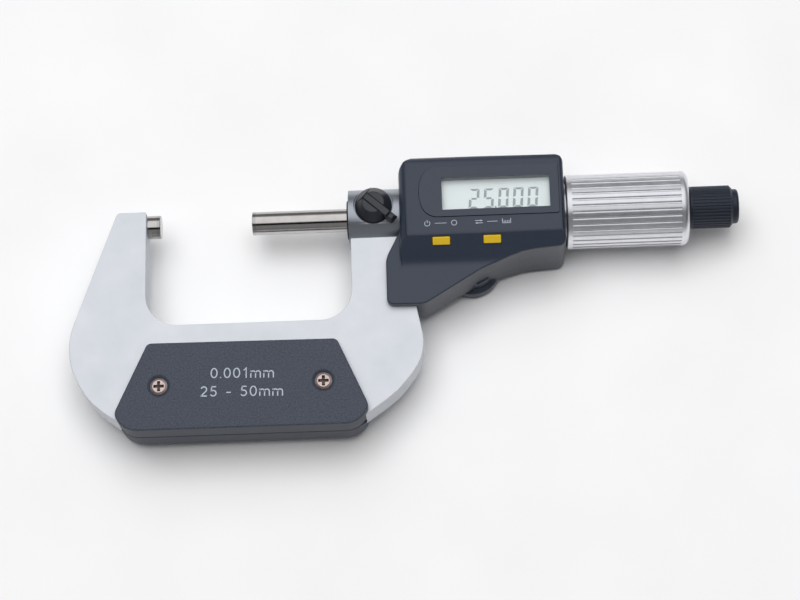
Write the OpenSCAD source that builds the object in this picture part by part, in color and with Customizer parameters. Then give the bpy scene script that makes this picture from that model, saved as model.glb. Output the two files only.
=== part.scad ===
// Outside micrometer, 25-50 mm, with an electronic display, a straight-fluted thimble and a ratchet stop.
// It lies on its back: +Z points out of the display, +X runs along the spindle from the anvil to the
// thimble, and +Y from the grip to the spindle. The origin is the centre of the anvil's measuring face.
// The spindle is drawn at the lower end of its range, with the faces measuring_gap apart.

/* [Measuring axis] */
// Distance between the measuring faces as drawn
measuring_gap = 25; // [25:0.1:25.5]
// Diameter of the anvil and of the spindle
spindle_d = 6.35; // [6.2:0.05:6.5]
// Length of the anvil's head in front of its arm
anvil_head = 3.6; // [3.3:0.1:4]
// Thickness of the hard tips on both measuring faces
tip_t = 1; // [0.6:0.1:1.5]
// Diameter of the spindle's thread
thread_d = 6.9; // [6.7:0.05:6.95]

/* [Frame] */
// Thickness of the frame
frame_t = 9; // [8.6:0.1:9.4]
// Depth of the throat below the measuring axis
throat_depth = 29.4; // [28:0.1:30]
// Height of the anvil arm above the measuring axis
arm_top = 3; // [2.9:0.1:3.4]
// Face of the hub that the spindle comes out of
hub_x = 51.4; // [51.3:0.1:51.6]
// Diameter of the hub
hub_d = 16.2; // [16:0.1:16.4]

/* [Grip covers] */
// Thickness over both grip covers
grip_t = 15.2; // [14.6:0.1:16]
// Top edge of the grip covers
grip_top_y = -35.6; // [-36:0.1:-35]
// Bottom edge of the grip covers
grip_bottom_y = -59.2; // [-60:0.1:-59]

/* [Display housing] */
// Left side of the housing at the hub
housing_x0 = 65.3; // [65.2:0.1:65.5]
// Right side of the housing at the thimble
housing_x1 = 109.8; // [109.5:0.1:109.9]
// Upper side of the housing
housing_top_y = 13.2; // [13:0.1:13.4]
// Height of the display face above the measuring axis
face_z = 11.5; // [11.5:0.1:11.8]
// Depth of the housing's back below the measuring axis
back_z = 11; // [11:0.1:11.1]
// Height of the front of the wing that clasps the frame
wing_z = 7; // [6.9:0.1:7.1]
// Depth of the back of the same wing
wing_back_z = 6.4; // [6.3:0.1:6.6]
// Wall thickness of the housing
wall = 1.8; // [1.7:0.05:1.8]

/* [Thimble] */
// Diameter of the thimble
thimble_d = 20.2; // [20:0.1:20.6]
// Left end of the thimble as drawn
thimble_x0 = 110.3; // [110.2:0.1:111]
// Right end of the thimble as drawn
thimble_x1 = 143.45; // [143.3:0.05:143.6]
// Number of flutes round the thimble
thimble_flutes = 36; // [30:1:40]
// Diameter of the ratchet knob
knob_d = 11.5; // [11.4:0.1:12]
// Number of flutes round the ratchet knob
knob_flutes = 40; // [32:1:44]

/* [Hidden] */

$fn = 64;
eps = 0.01;
spindle_r = spindle_d / 2;
thread_r = thread_d / 2;
fit = 0.025;          // radial clearance of a running or sliding fit
play = 0.05;          // gap beside a seated piece, and the radial clearance of a looser fit
gap = 0.2;            // space left at the end of a hole or groove
over = 1;             // how far a cut runs past a face
far = 60;             // longer than any cut has to be

// Anvil
anvil_shank_r = 2;
anvil_shank = 6;
face_edge = 0.15;

// Grip and its screws
frame_bottom_y = grip_bottom_y + 1.9;
grip_rise = 0.4;
grip_side_x = [-11.8, 55.8];
grip_foot_x = [-9.4, 53.4];
grip_side_y = -54.3;
grip_screw_at = [[0.2, -47.2], [43.9, -47.2]];
grip_recess_r = 2.75;
grip_recess = 0.9;
grip_head_r = 2.25;
grip_head_h = 0.75;
grip_shank_r = 1.25;
grip_shank = 6.2;
grip_hole_r = 1.4;

// Phillips recess of a screw, as parts of its head's radius
cross_arm = [1.25, 0.36];
cross_pit = 0.5;

// Hub, its bush and the encoder behind it
hub_end_x = 66;
seal_r = 5.25;
seal_out = 0.5;
seal_fit = 0.08;
bush_x0 = hub_x + 1.3;
bush_r = 4.6;
case_spigot_x = 63.9;
case_spigot_r = 5.9;
case_r = 8.8;
case_wall = 0.5;
case_bore_r = 4;
stator_x = 67.2;
stator_bore_r = 4.6;
disc_t = 1;
disc_gap = 0.3;
rotor_x = 68.5;
rotor_bush_r = 4.15;
rotor_nose = 0.9;
rotor_flange_r = 5.6;
washer_t = 0.35;
barrel_x0 = 70.9;
barrel_flange_t = 1.6;
rotor_end_x = 80.2;
key_x = 78;
key_r = 0.5;
key_depth = 0.6;
key_z = [spindle_r - key_depth + play, rotor_bush_r - 2 * play];
travel = 25;
groove_x = [key_x - travel - key_r - gap, key_x + 2 * key_r];

// Barrel, sleeve and thimble
barrel_r = 6;
barrel_bore_r = 4.8;
barrel_end_x = 136.5;
nut_x = 120;
nut_slot_x = 125;
nut_slot_w = 0.5;
sleeve_x0 = 108.3;
sleeve_r = 7.9;
sleeve_wall = 0.6;
collar_x = [107.8, 112];
adjuster_t = 6;
adjuster_notch = [2, 1.2];
thimble_bore_r = 8.2;
thimble_web_x = 137.2;
thimble_hole_r = 2;
thimble_edge = [0.5, 1.6];
flute_x = [thimble_x0 + 1.6, thimble_x1 - 2.2];
flute_r = 0.45;
flute_lift = 0.12;
thread_x = [94, 136.9];
spindle_end_x = 142.5;
taper_r = [3.3, 2.9];

// Ratchet stop
ratchet_r = 4.4;
ratchet_teeth = 24;
tooth_h = 0.35;
tooth_gap = 0.07;
tooth_bore_r = 2.6;
base_face_x = thimble_x1 + 2.45;
crown_x = [base_face_x + play, base_face_x + 2.2];
stop_hole = 8;
stop_shank = 7.5;
stop_shank_r = 1.35;
stop_r = 1.6;
stop_head_r = 2.7;
stop_head_t = 1.2;
stop_slot = [1.2, 0.8];
ratchet_head_x = 151.9;
ratchet_bore_r = 4.5;
ratchet_bore_x = ratchet_head_x + 1.8;
spring_r = 2.3;
spring_wire_r = 0.22;
spring_turns = 4;
lug_t = 1.5;
lug_w = 1.6;
lug_r = 5;
lug_shift = 0.3;
lug_slot_x = [base_face_x + 0.4, ratchet_head_x + 1];
knob_x = [thimble_x1 + gap, 155.5];
knob_edge = [0.4, 0.7];
knob_flute_x = knob_x[0] + 0.9;
knob_flute_r = 0.32;
plug_r = 3;
plug_h = 1.3;
cap_end_r = 4.7;
cap_edge = 0.8;
cap_x1 = 157.2;

// Lock
lock_at = [58.3, 1.6];
lock_floor_z = 6;
lock_hole_z = 1.8;
lock_hole_r = 1.75;
lock_r = 5;
lock_base_h = 1.2;
lock_cone_h = 2.5;
lock_top_r = 2.95;
lock_socket_h = 3.2;
lock_screw_z = [4.15, 9.1];
lock_screw_r = 1.7;
lock_pad_z = [1.95, 4.1];
lock_pad_r = 1.65;
lever_deg = -42;
lever_x = [-2.9, 7.6];
lever_w = 1.9;
lever_z = [8.4, 10.15];
lever_tip = [2.5, 2.5];
lever_tip_top = [1.3, 1.4];
lever_tip_z = [8.2, 9.95];
lever_tip_step = 0.7;

// Display housing: a thick upper part, a slope that carries the buttons, and a thin wing
housing_rise = 0.7;
slope_y = [-8.6, -15.6];
back_slope_y = [-13, -19.5];
slope_deg = atan2(face_z - wing_z, slope_y[0] - slope_y[1]);
top_round = 3;
end_round = [3, 1.6];
bezel_t = 1.2;
bezel_seat_z = face_z - 0.9;
bezel_gap = 0.12;

// Screws of the housing: three through the thick part and one through the wing and the frame
housing_screw_at = [[103, 9.6], [77, 9.6], [103, -9.9]];
wing_screw_at = [65.2, -21.5];
front_post_r = 2;
rear_post_r = 2.2;
post_top_z = 5.9;
post_inset = 0.5;
screw_r = 0.85;
screw_hole_r = 1.1;
screw_bottom_z = 5.1;
wing_bottom_z = 5.7;
screw_head_r = 1.8;
screw_head_h = 1;
head_recess_r = 1.95;
head_z = -9;
wing_head_z = -wing_back_z + 1.1;
frame_hole_r = 1.35;

// Display and circuit board
window_at = [91.4, 2.45];
window_size = [29, 9.1];
window_t = 0.7;
lcd_shift = [0, 0.5];
lcd_size = [30.5, 12];
lcd_z = [7.8, 8.9];
lcd_frame_size = [32.2, 13.4];
strip_size = [28.6, 0.9];
strip_y = 5.4;
board_at = [73.2, -10.2];
board_size = [34.2, 19.9];
board_z = [6.3, 7.1];
board_screw_at = [[97.5, -7.4], [105.2, -6.6]];
board_post_r = 1.6;
board_screw_r = 0.7;
board_screw = 3.3;
board_hole_z = 9.7;
chip_at = [93.6, -8];
chip_r = [1.4, 2.1];
chip_t = 1.3;
crystal_at = [89.2, -8.9];
crystal_size = [3.2, 1.4];
crystal_t = 1.2;
capacitor_at = [[76.4, -9.1], [79.4, -9.1]];
capacitor_size = [2, 1.2];
capacitor_t = 0.9;

// Buttons, each with a flange behind the slope's wall, and the rubber mat under them
button_at = [[76.35, -10.4], [90, -10.4]];
button_size = [4.7, 2.2];
button_z = [-1.05, 0.45];
button_gap = 0.15;
flange_size = [6, 3.7];
flange_z = [-1.5, -1];
pocket_size = [6.6, 4.4];
pocket_z = [-4.9, -0.9];
stem_r = 0.7;
stem_z = -2.1;
mat_at = [73.4, -10];
mat_size = [20, 3.9];
mat_t = 0.3;

// Battery and its cap
battery_at = [84.3, -12];
battery_r = 5.8;
battery_z = [-9.25, -3.9];
battery_step = 4.9;
well_r = 6.7;
well_roof = 0.6;
well_gap = 0.15;
contact_t = 0.3;
contact_r = 2.6;
contact_leaf_w = 1.6;
cap_seat_z = -11.2;
cap_r = 7.6;
cap_t = 0.7;
cap_neck_r = 6.9;
cap_neck = 2.4;
cap_slot = [11, 1.6, 2.2];
boss_r = cap_r + 0.4;
boss_h = 3.4;
seal_t = 0.5;

// Points of an arc that rounds the corner v between its neighbours p and n with the radius r
function unit(v) = v / norm(v);
function corner(p, v, n, r) =
    let (a = unit(p - v), b = unit(n - v), half = acos(a * b) / 2,
         c = v + unit(a + b) * r / sin(half), s = v + a * r / tan(half) - c, e = v + b * r / tan(half) - c,
         a0 = atan2(s[1], s[0]), turn = atan2(e[1], e[0]) - a0,
         sweep = turn > 180 ? turn - 360 : turn < -180 ? turn + 360 : turn,
         steps = max(2, ceil(abs(sweep) / 9)))
    [for (k = [0 : steps]) c + r * [cos(a0 + sweep * k / steps), sin(a0 + sweep * k / steps)]];

// Outline through corners given as [x, y, radius]
function rounded(pts) =
    let (n = len(pts))
    [for (i = [0 : n - 1])
        let (p = pts[(i + n - 1) % n], v = pts[i], q = pts[(i + 1) % n])
        each (v[2] > 0 ? corner([p[0], p[1]], [v[0], v[1]], [q[0], q[1]], v[2]) : [[v[0], v[1]]])];

// A cylinder along X between two stations, and the same with a bore
module rod(x0, x1, r) {
    translate([x0, 0, 0]) rotate([0, 90, 0]) cylinder(h = x1 - x0, r = r);
}

module ring(x0, x1, r, bore) {
    difference() {
        rod(x0, x1, r);
        rod(x0 - over, x1 + over, bore);
    }
}

// A profile given as [x, radius] points, turned about the X axis
module turned(profile) {
    rotate([0, 90, 0]) rotate_extrude() polygon([for (p = profile) [p[1], p[0]]]);
}

// Cylinders along Z at every place in a list, and a box centred on a place
module posts(at, z0, z1, r) {
    for (p = at) translate([p[0], p[1], z0]) cylinder(h = z1 - z0, r = r);
}

module block(at, size, z0, z1) {
    translate([at[0], at[1], (z0 + z1) / 2]) cube([size[0], size[1], z1 - z0], center = true);
}

// A pan head with a cross recess, its head's underside at z = 0
module cross_screw(head_r, head_h, shank_r, shank) {
    rim_h = head_h * 0.6;
    difference() {
        union() {
            cylinder(h = rim_h, r = head_r);
            translate([0, 0, rim_h]) cylinder(h = head_h - rim_h, r1 = head_r, r2 = head_r * 0.75);
            translate([0, 0, -shank]) cylinder(h = shank + eps, r = shank_r);
        }
        for (a = [0, 90]) translate([0, 0, head_h * 0.8]) rotate(a)
            cube([head_r * cross_arm[0], head_r * cross_arm[1], head_h], center = true);
        translate([0, 0, -head_h * 0.4]) cylinder(h = head_h, r1 = 0, r2 = head_r * cross_pit);
    }
}

// ---------------------------------------------------------------- frame and grip

module frame_outline() {
    polygon(rounded([
        [-11.6, arm_top, 1.2], [-anvil_head, arm_top, 0.6],
        [-anvil_head - 0.2, -throat_depth, 8.5], [hub_x + 0.4, -throat_depth, 8.5],
        [hub_x + 0.4, 0, 0], [65, 0, 0], [66.3, -12, 0],
        [71.6, -39.7, 13], [63.7, -50, 25], [53.2, frame_bottom_y, 6],
        [-9.4, frame_bottom_y, 6], [-19.3, -49.8, 20], [-26.1, -36.3, 20]]));
}

// The hole for the lock's screw and pad, down into the spindle's bore
module lock_hole() {
    posts([lock_at], lock_hole_z, far, lock_hole_r);
}

module frame() {
    color("lightsteelblue")
    difference() {
        union() {
            linear_extrude(frame_t, center = true) frame_outline();
            rod(hub_x, hub_end_x, hub_d / 2);
        }
        rod(-anvil_head - anvil_shank - gap, 0, anvil_shank_r);
        rod(hub_x - over, hub_end_x + over, bush_r);
        rod(hub_x - over, bush_x0, seal_r);
        rod(case_spigot_x, hub_end_x + over, case_spigot_r);
        posts([lock_at], lock_floor_z, far, lock_r + 2 * gap);
        lock_hole();
        posts(grip_screw_at, -far, far, grip_shank_r);
        posts([wing_screw_at], -far, far, frame_hole_r);
    }
}

module anvil() {
    color("silver") {
        rod(-anvil_head, -tip_t, spindle_r);
        rod(-anvil_head - anvil_shank, -anvil_head + eps, anvil_shank_r);
    }
}

module anvil_tip() {
    color("dimgray") turned([[-tip_t, 0], [-tip_t, spindle_r], [-face_edge, spindle_r],
        [0, spindle_r - face_edge], [0, 0]]);
}

module grip_outline() {
    polygon(rounded([
        [-2.9, grip_top_y + grip_rise, 1.7], [47.6, grip_top_y, 1.7], [grip_side_x[1], grip_side_y, 2.9],
        [grip_foot_x[1], grip_bottom_y, 6.4], [grip_foot_x[0], grip_bottom_y, 6.4],
        [grip_side_x[0], grip_side_y, 2.9]]));
}

module grip_shell() {
    difference() {
        linear_extrude(grip_t / 2) grip_outline();
        translate([0, 0, -over]) linear_extrude(over + frame_t / 2) frame_outline();
        posts(grip_screw_at, 0, far, grip_hole_r);
        posts(grip_screw_at, grip_t / 2 - grip_recess, far, grip_recess_r);
    }
}

module grip_front() {
    color("darkslategray") grip_shell();
}

module grip_rear() {
    color("darkslategray") mirror([0, 0, 1]) grip_shell();
}

module grip_screw_set() {
    for (p = grip_screw_at) translate([p[0], p[1], grip_t / 2 - grip_recess])
        cross_screw(grip_head_r, grip_head_h, grip_shank_r, grip_shank);
}

module grip_screws_front() {
    color("rosybrown") grip_screw_set();
}

module grip_screws_rear() {
    color("rosybrown") mirror([0, 0, 1]) grip_screw_set();
}

// ---------------------------------------------------------------- hub and lock

module guide_bush() {
    color("goldenrod") difference() {
        ring(bush_x0, case_spigot_x - 2 * play, bush_r, spindle_r + fit);
        lock_hole();
    }
}

module spindle_seal() {
    color("black") ring(hub_x - seal_out, bush_x0, seal_r, spindle_r + seal_fit);
}

module lock_lever() {
    base_z = lock_floor_z + 2 * play;
    tip_x = lever_x[1] - lever_tip[0] / 2;
    color("darkslategray") difference() {
        union() {
            posts([lock_at], base_z, base_z + lock_base_h, lock_r);
            translate([lock_at[0], lock_at[1], base_z + lock_base_h])
                cylinder(h = lock_cone_h, r1 = lock_r, r2 = lock_top_r);
            translate([lock_at[0], lock_at[1], 0]) rotate(lever_deg) {
                translate([lever_x[0], -lever_w / 2, lever_z[0]])
                    cube([lever_x[1] - lever_tip[0] - lever_x[0] + gap, lever_w, lever_z[1] - lever_z[0]]);
                hull() {
                    block([tip_x, 0], lever_tip, lever_tip_z[0], lever_tip_z[0] + lever_tip_step);
                    block([tip_x, 0], lever_tip_top, lever_tip_z[0], lever_tip_z[1]);
                }
            }
        }
        posts([lock_at], lock_floor_z, lock_floor_z + lock_socket_h, lock_screw_r);
    }
}

module lock_screw() {
    color("silver") posts([lock_at], lock_screw_z[0], lock_screw_z[1], lock_screw_r);
}

module lock_pad() {
    color("goldenrod") difference() {
        posts([lock_at], lock_pad_z[0], lock_pad_z[1], lock_pad_r);
        rod(hub_x, hub_end_x, spindle_r + fit);
    }
}

// ---------------------------------------------------------------- encoder

module encoder_case() {
    color("silver") difference() {
        union() {
            rod(case_spigot_x, hub_end_x + eps, case_spigot_r);
            rod(hub_end_x, barrel_x0, case_r);
        }
        rod(case_spigot_x - over, barrel_x0 + over, case_bore_r);
        rod(stator_x, barrel_x0 + over, case_r - case_wall);
    }
}

module encoder_stator() {
    color("darkgreen") ring(stator_x, stator_x + disc_t, case_r - case_wall, stator_bore_r);
}

module encoder_rotor() {
    color("seagreen") ring(rotor_x, rotor_x + disc_t, case_r - case_wall - disc_gap, rotor_bush_r);
}

module rotor_bush() {
    color("goldenrod") difference() {
        union() {
            rod(rotor_x - rotor_nose, rotor_end_x, rotor_bush_r);
            rod(rotor_x + disc_t, barrel_x0 - washer_t - play, rotor_flange_r);
        }
        rod(rotor_x - rotor_nose - over, rotor_end_x + over, spindle_r + fit);
        translate([key_x, 0, 0]) cylinder(h = far, r = key_r);
    }
}

module rotor_key() {
    color("silver") translate([key_x, 0, key_z[0]]) cylinder(h = key_z[1] - key_z[0], r = key_r);
}

module thrust_washer() {
    color("silver") ring(barrel_x0 - washer_t, barrel_x0, rotor_flange_r, rotor_bush_r + 3 * play);
}

// ---------------------------------------------------------------- barrel, spindle and thimble

module barrel() {
    color("silver") difference() {
        union() {
            rod(barrel_x0, barrel_x0 + barrel_flange_t, case_r);
            rod(barrel_x0, barrel_end_x, barrel_r);
            rod(collar_x[0], collar_x[1], sleeve_r - sleeve_wall);
        }
        rod(barrel_x0 - over, rotor_end_x + 2 * play, rotor_bush_r + play);
        rod(rotor_end_x + 2 * play, nut_x, barrel_bore_r);
        rod(nut_x - over, barrel_end_x + over, thread_r + play);
        for (a = [0, 60, 120]) rotate([a, 0, 0])
            translate([nut_slot_x + far / 2, 0, 0]) cube([far, nut_slot_w, far], center = true);
    }
}

module sleeve() {
    color("gainsboro") ring(sleeve_x0, barrel_end_x + gap, sleeve_r, sleeve_r - sleeve_wall);
}

module adjusting_nut() {
    color("silver") difference() {
        ring(barrel_end_x - adjuster_t, barrel_end_x, sleeve_r - sleeve_wall - 2 * play, barrel_r);
        translate([barrel_end_x, 0, 0])
            cube([adjuster_notch[0], adjuster_notch[1], far], center = true);
    }
}

module spindle() {
    color("silver") difference() {
        union() {
            rod(measuring_gap + tip_t, thread_x[0] + eps, spindle_r);
            rod(thread_x[0], thread_x[1], thread_r);
            rod(thread_x[1] - eps, thimble_web_x, taper_r[0]);
            translate([thimble_web_x - eps, 0, 0]) rotate([0, 90, 0])
                cylinder(h = spindle_end_x - thimble_web_x + eps, r1 = taper_r[0], r2 = taper_r[1]);
        }
        rod(spindle_end_x - stop_hole, spindle_end_x + over, stop_shank_r);
        translate([groove_x[0], -key_r - fit, spindle_r - key_depth])
            cube([groove_x[1] - groove_x[0], 2 * (key_r + fit), far]);
    }
}

module spindle_tip() {
    color("dimgray") turned([[measuring_gap, 0], [measuring_gap, spindle_r - face_edge],
        [measuring_gap + face_edge, spindle_r], [measuring_gap + tip_t, spindle_r],
        [measuring_gap + tip_t, 0]]);
}

module thimble() {
    thimble_r = thimble_d / 2;
    color("gainsboro") difference() {
        turned(rounded([[thimble_x0, thimble_bore_r, 0], [thimble_x0, thimble_r, thimble_edge[0]],
            [thimble_x1, thimble_r, thimble_edge[1]], [thimble_x1, thimble_hole_r, 0],
            [spindle_end_x, thimble_hole_r, 0], [spindle_end_x, taper_r[1], 0],
            [thimble_web_x, taper_r[0], 0], [thimble_web_x, thimble_bore_r, 0]]));
        for (i = [0 : thimble_flutes - 1]) rotate([i * 360 / thimble_flutes, 0, 0])
            translate([flute_x[0], 0, thimble_r + flute_lift]) rotate([0, 90, 0])
                cylinder(h = flute_x[1] - flute_x[0], r = flute_r, $fn = 24);
    }
}

// ---------------------------------------------------------------- ratchet stop

// Radial ridges with a V section on a face at the station x
module ridges(x, h) {
    for (i = [0 : ratchet_teeth / 2 - 1]) rotate([i * 360 / ratchet_teeth, 0, 0])
        translate([x, 0, 0]) rotate([0, 0, 45])
            cube([h * sqrt(2), h * sqrt(2), 2 * ratchet_r + over], center = true);
}

module ratchet_base() {
    color("silver") difference() {
        union() {
            rod(thimble_x1, base_face_x, ratchet_r);
            intersection() {
                ridges(base_face_x, tooth_h);
                rod(base_face_x - over, base_face_x + over, ratchet_r);
            }
        }
        rod(thimble_x1 - over, base_face_x + over, stop_r + play);
        rod(base_face_x, base_face_x + over, tooth_bore_r);
    }
}

module ratchet_screw() {
    color("silver") difference() {
        union() {
            rod(spindle_end_x - stop_shank, spindle_end_x + eps, stop_shank_r);
            rod(spindle_end_x, ratchet_head_x + eps, stop_r);
            rod(ratchet_head_x, ratchet_head_x + stop_head_t, stop_head_r);
        }
        translate([ratchet_head_x + stop_head_t, 0, 0])
            cube([stop_slot[0], stop_slot[1], far], center = true);
    }
}

module ratchet_crown() {
    color("silver") difference() {
        union() {
            rod(crown_x[0], crown_x[1], ratchet_r - 2 * play);
            intersection() {
                translate([(crown_x[0] + crown_x[1]) / 2 + lug_shift, 0, 0])
                    cube([lug_t, lug_w, far], center = true);
                rod(crown_x[0], crown_x[1], lug_r);
            }
        }
        ridges(base_face_x, tooth_h + tooth_gap);
        rod(crown_x[0] - over, crown_x[1] + over, stop_r + 3 * play);
    }
}

// A compression spring along X, swept as a tube with round turns
module coil(x0, x1, r, wire_r, turns) {
    steps = 20 * turns;
    sides = 8;
    points = [for (i = [0 : steps]) for (j = [0 : sides - 1])
        let (a = 360 * turns * i / steps, b = 360 * j / sides, q = r + wire_r * cos(b))
        [x0 + wire_r + (x1 - x0 - 2 * wire_r) * i / steps + wire_r * sin(b), q * cos(a), q * sin(a)]];
    skin = [for (i = [0 : steps - 1]) for (j = [0 : sides - 1])
        let (k = (j + 1) % sides)
        [i * sides + j, i * sides + k, (i + 1) * sides + k, (i + 1) * sides + j]];
    ends = [[for (j = [sides - 1 : -1 : 0]) j], [for (j = [0 : sides - 1]) steps * sides + j]];
    polyhedron(points, concat(skin, ends));
}

module ratchet_spring() {
    color("silver")
        coil(crown_x[1] + 2 * eps, ratchet_head_x - 2 * eps, spring_r, spring_wire_r, spring_turns);
}

module ratchet_knob() {
    knob_r = knob_d / 2;
    slot_x = (lug_slot_x[0] + lug_slot_x[1]) / 2;
    color("darkslategray") difference() {
        turned([[knob_x[0], 0], [knob_x[0], knob_r - knob_edge[0]], [knob_x[0] + knob_edge[0], knob_r],
            [knob_x[1] - knob_edge[1], knob_r], [knob_x[1], knob_r - knob_edge[1]], [knob_x[1], 0]]);
        rod(knob_x[0] - over, ratchet_bore_x, ratchet_bore_r);
        rod(knob_x[0], knob_x[1] + over, plug_r);
        translate([slot_x, 0, 0])
            cube([lug_slot_x[1] - lug_slot_x[0], lug_w + gap, 2 * lug_r + gap], center = true);
        for (i = [0 : knob_flutes - 1]) rotate([i * 360 / knob_flutes, 0, 0])
            translate([knob_flute_x, 0, knob_r + flute_lift]) rotate([0, 90, 0])
                cylinder(h = far, r = knob_flute_r, $fn = 16);
    }
}

module ratchet_cap() {
    color("darkslategray") turned(rounded([[knob_x[1] - plug_h, 0, 0], [knob_x[1] - plug_h, plug_r, 0],
        [knob_x[1], plug_r, 0], [knob_x[1], cap_end_r, 0], [cap_x1, cap_end_r, cap_edge], [cap_x1, 0, 0]]));
}

// ---------------------------------------------------------------- display housing

module housing_outline() {
    polygon(rounded([
        [housing_x0, housing_top_y + housing_rise, 5], [housing_x1, housing_top_y, 2.5], [housing_x1, -12.4, 2],
        [98, -13.2, 25], [87, -17.4, 20], [71.4, -26.8, 5],
        [61.3, -26.6, 1.8], [61.3, -13.5, 7], [housing_x0, -5.8, 7]]));
}

// Section across X: the thick upper part, the slope and the wing
module housing_section() {
    top_y = housing_top_y + housing_rise;
    polygon(rounded([
        [top_y, face_z, top_round], [slope_y[0], face_z, 2.5], [slope_y[1], wing_z, 6],
        [-far, wing_z, 0], [-far, -wing_back_z, 0], [back_slope_y[1], -wing_back_z, 6],
        [back_slope_y[0], -back_z, 2], [top_y, -back_z, top_round]]));
}

// Section across Y, with round edges at both ends of the thick part
module housing_ends() {
    polygon(rounded([[housing_x0, face_z, end_round[0]], [housing_x1, face_z, end_round[1]],
        [housing_x1, -back_z, end_round[1]], [housing_x0, -back_z, end_round[0]]]));
}

// The housing as one solid, drawn in by the given amount on every side
module housing_solid(inset) {
    intersection() {
        linear_extrude(2 * far, center = true) offset(delta = -inset) housing_outline();
        rotate([90, 0, 90]) linear_extrude(4 * far, center = true) offset(delta = -inset) housing_section();
        union() {
            rotate([90, 0, 0]) linear_extrude(4 * far, center = true) offset(delta = -inset) housing_ends();
            cube([4 * far, 4 * far, 2 * (wing_z - inset + play)], center = true);
        }
    }
}

// What both housing shells leave free: the hub, the encoder, the sleeve and the frame's arm
module housing_openings() {
    rod(hub_x, hub_end_x + over, hub_d / 2 + 2 * eps);
    rod(hub_end_x - eps, barrel_x0 + barrel_flange_t + disc_gap, case_r + 2 * eps);
    rod(housing_x1 - 2 * wall, housing_x1 + over, sleeve_r);
    linear_extrude(frame_t, center = true) frame_outline();
}

// A place on the slope, with its own +Z along the slope's normal
module on_slope(at) {
    translate([at[0], at[1], face_z - (slope_y[0] - at[1]) * tan(slope_deg)]) rotate([slope_deg, 0, 0])
        children();
}

module bezel_outline() {
    polygon(rounded([
        [72.4, 10.2, 4.6], [108.4, 10.2, 0.8], [108.4, -4.1, 0.8], [72.4, -4.1, 4.6], [69.9, 3.05, 12]]));
}

module housing_front() {
    color("darkslategray") difference() {
        union() {
            difference() {
                housing_solid(0);
                housing_solid(wall);
                translate([0, 0, bezel_seat_z]) linear_extrude(far) bezel_outline();
                block(window_at + lcd_shift, lcd_frame_size + [2 * play, 2 * play], board_z[1], far);
                for (b = button_at) on_slope(b) {
                    block([0, 0], button_size + 2 * [button_gap, button_gap], -6, 6);
                    block([0, 0], pocket_size, pocket_z[0], pocket_z[1]);
                }
            }
            intersection() {
                union() {
                    posts(housing_screw_at, -over, post_top_z, front_post_r);
                    posts(board_screw_at, board_z[1], face_z - over, board_post_r);
                    posts([wing_screw_at], -over, wing_z - over, rear_post_r);
                }
                housing_solid(post_inset);
            }
        }
        housing_openings();
        posts(housing_screw_at, -2 * over, screw_bottom_z, screw_r);
        posts([wing_screw_at], -2 * over, wing_bottom_z, screw_r);
        posts(board_screw_at, 0, board_hole_z, board_screw_r);
        block([0, 0], [8 * far, 8 * far], -far, 0);
    }
}

module housing_rear() {
    color("darkslategray") difference() {
        union() {
            difference() {
                union() {
                    housing_solid(0);
                    posts([battery_at], cap_seat_z, cap_seat_z + boss_h, boss_r);
                }
                housing_solid(wall);
            }
            intersection() {
                posts(concat(housing_screw_at, [wing_screw_at]), -back_z, over, rear_post_r);
                housing_solid(post_inset);
            }
            posts([battery_at], cap_seat_z, battery_z[1] + well_roof, well_r);
            posts([battery_at], cap_seat_z, cap_seat_z + boss_h - gap, boss_r);
        }
        housing_openings();
        posts([battery_at], battery_z[0], battery_z[1], battery_r + well_gap);
        posts([battery_at], cap_seat_z - over, battery_z[0], cap_neck_r + play);
        posts([battery_at], battery_z[1] - eps, far, contact_r + gap);
        posts(concat(housing_screw_at, [wing_screw_at]), -far, 2 * over, screw_hole_r);
        posts(housing_screw_at, -far, head_z, head_recess_r);
        posts([wing_screw_at], -far, wing_head_z, head_recess_r);
        block([0, 0], [8 * far, 8 * far], 0, far);
    }
}

module housing_screws() {
    color("silver") {
        for (p = housing_screw_at) translate([p[0], p[1], head_z]) mirror([0, 0, 1])
            cross_screw(screw_head_r, screw_head_h, screw_r, screw_bottom_z - 2 * play - head_z);
        translate([wing_screw_at[0], wing_screw_at[1], wing_head_z]) mirror([0, 0, 1])
            cross_screw(screw_head_r, screw_head_h, screw_r, wing_bottom_z - 2 * play - wing_head_z);
    }
}

// ---------------------------------------------------------------- display

module display_bezel() {
    color("slategray") difference() {
        translate([0, 0, bezel_seat_z]) linear_extrude(bezel_t) offset(delta = -bezel_gap) bezel_outline();
        block(window_at, window_size, 0, far);
    }
}

module display_window() {
    seat_z = bezel_seat_z + 2 * play;
    color("lightcyan") block(window_at, window_size, seat_z, seat_z + window_t);
}

module lcd_frame() {
    opening = window_size + [gap, gap];
    color("black") difference() {
        block(window_at + lcd_shift, lcd_frame_size, board_z[1], bezel_seat_z);
        block(window_at, opening, 0, far);
        block(window_at + lcd_shift, lcd_size + [2 * play, 2 * play], 0, lcd_z[1]);
    }
}

module lcd_panel() {
    color("honeydew") block(window_at + lcd_shift, lcd_size, lcd_z[0], lcd_z[1]);
}

module zebra_strips() {
    color("dimgray") for (side = [-1, 1])
        block(window_at + lcd_shift + [0, side * strip_y], strip_size, board_z[1], lcd_z[0]);
}

module circuit_board() {
    color("darkgreen") difference() {
        translate([board_at[0], board_at[1], board_z[0]])
            cube([board_size[0], board_size[1], board_z[1] - board_z[0]]);
        posts(board_screw_at, 0, far, board_screw_r + gap);
    }
}

// The controller under its resin, a quartz crystal and two capacitors, on the board's back
module board_parts() {
    color("black") {
        translate([chip_at[0], chip_at[1], board_z[0] - chip_t])
            cylinder(h = chip_t, r1 = chip_r[0], r2 = chip_r[1]);
        block(crystal_at, crystal_size, board_z[0] - crystal_t, board_z[0]);
        for (at = capacitor_at) block(at, capacitor_size, board_z[0] - capacitor_t, board_z[0]);
    }
}

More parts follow.
